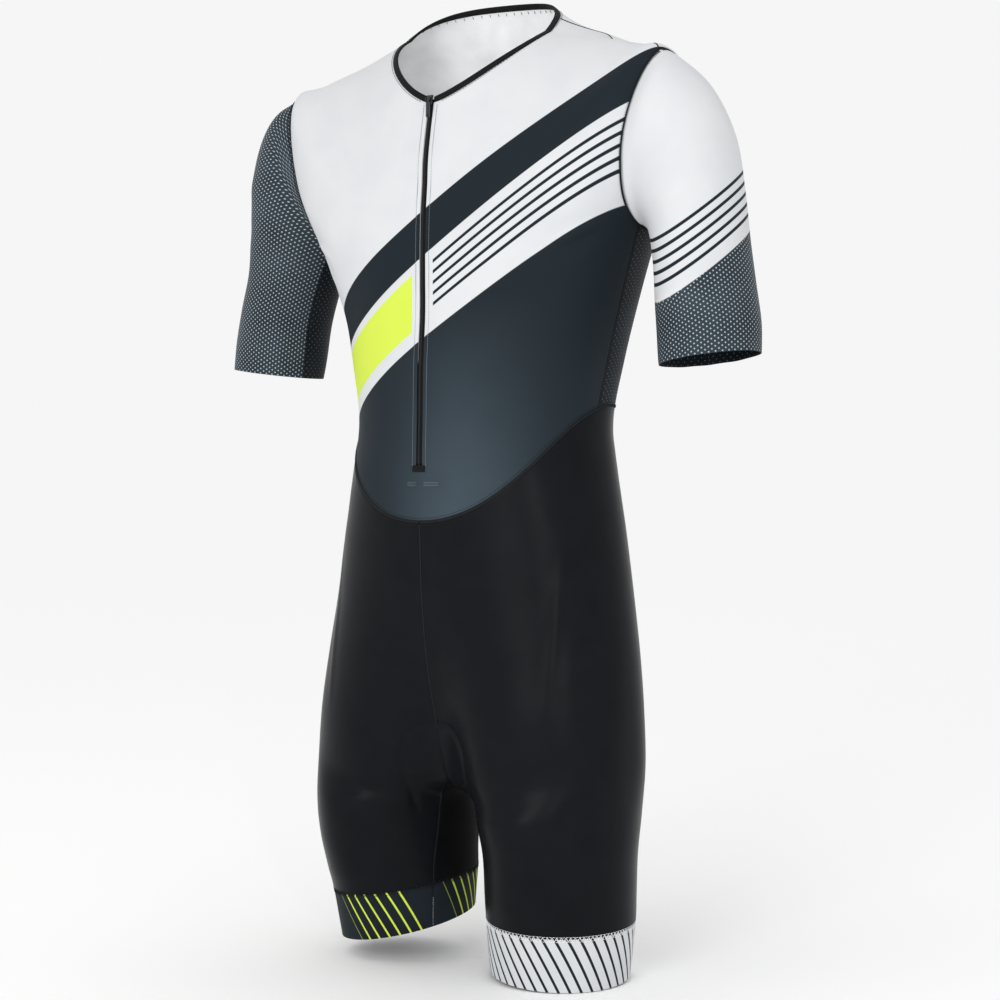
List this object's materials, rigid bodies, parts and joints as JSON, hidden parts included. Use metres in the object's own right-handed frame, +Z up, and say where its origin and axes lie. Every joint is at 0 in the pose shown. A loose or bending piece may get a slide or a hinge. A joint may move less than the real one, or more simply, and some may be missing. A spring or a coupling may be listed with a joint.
{
  "type": "triathlon suit",
  "caption": "Short-sleeved one-piece triathlon suit with half zip and mid-thigh legs, worn form, hollow, with a swinging zip pull.",
  "frame": {"origin": "between the shoulders at the base of the neck, level with the neck seam's highest part at the back, on the middle plane", "axes": "+Z up, -Y the wearer's front, +X the wearer's left"},
  "size_m": [0.598, 0.2228, 0.9277],
  "materials": {
    "white_knit": "matte stretch knit, printed in slate below the diagonal",
    "slate_mesh": "fine open mesh knit",
    "black_knit": "smooth stretch knit with a faint sheen",
    "black_trim": "woven tape",
    "pad_foam": "brushed foam pad",
    "black_metal": "black enamel"
  },
  "bodies": {
    "suit": {"front_panel": "white_knit", "back_panel": "white_knit", "side_panel_left": "slate_mesh", "side_panel_right": "slate_mesh", "sleeve_left": "slate_mesh", "sleeve_right": "slate_mesh", "under_sleeve_left": "slate_mesh", "under_sleeve_right": "slate_mesh", "shorts_left": "black_knit", "shorts_right": "black_knit", "inner_leg_left": "black_knit", "inner_leg_right": "black_knit", "leg_band_left": "white_knit", "leg_band_right": "slate_mesh", "neck_binding": "black_trim", "zip_tape": "black_trim", "zip_coil": "black_trim", "zip_stop": "black_trim", "zip_slider": "black_metal", "crotch_pad": "pad_foam"},
    "pull": {"zip_pull": "black_metal"}
  },
  "joints": [
    {"name": "pull_swing", "type": "hinge", "parent": "suit", "child": "pull", "pos_m": [0, -0.09433, -0.09922], "axis": [-1, 0, 0], "range_deg": [0, 150]}
  ]
}
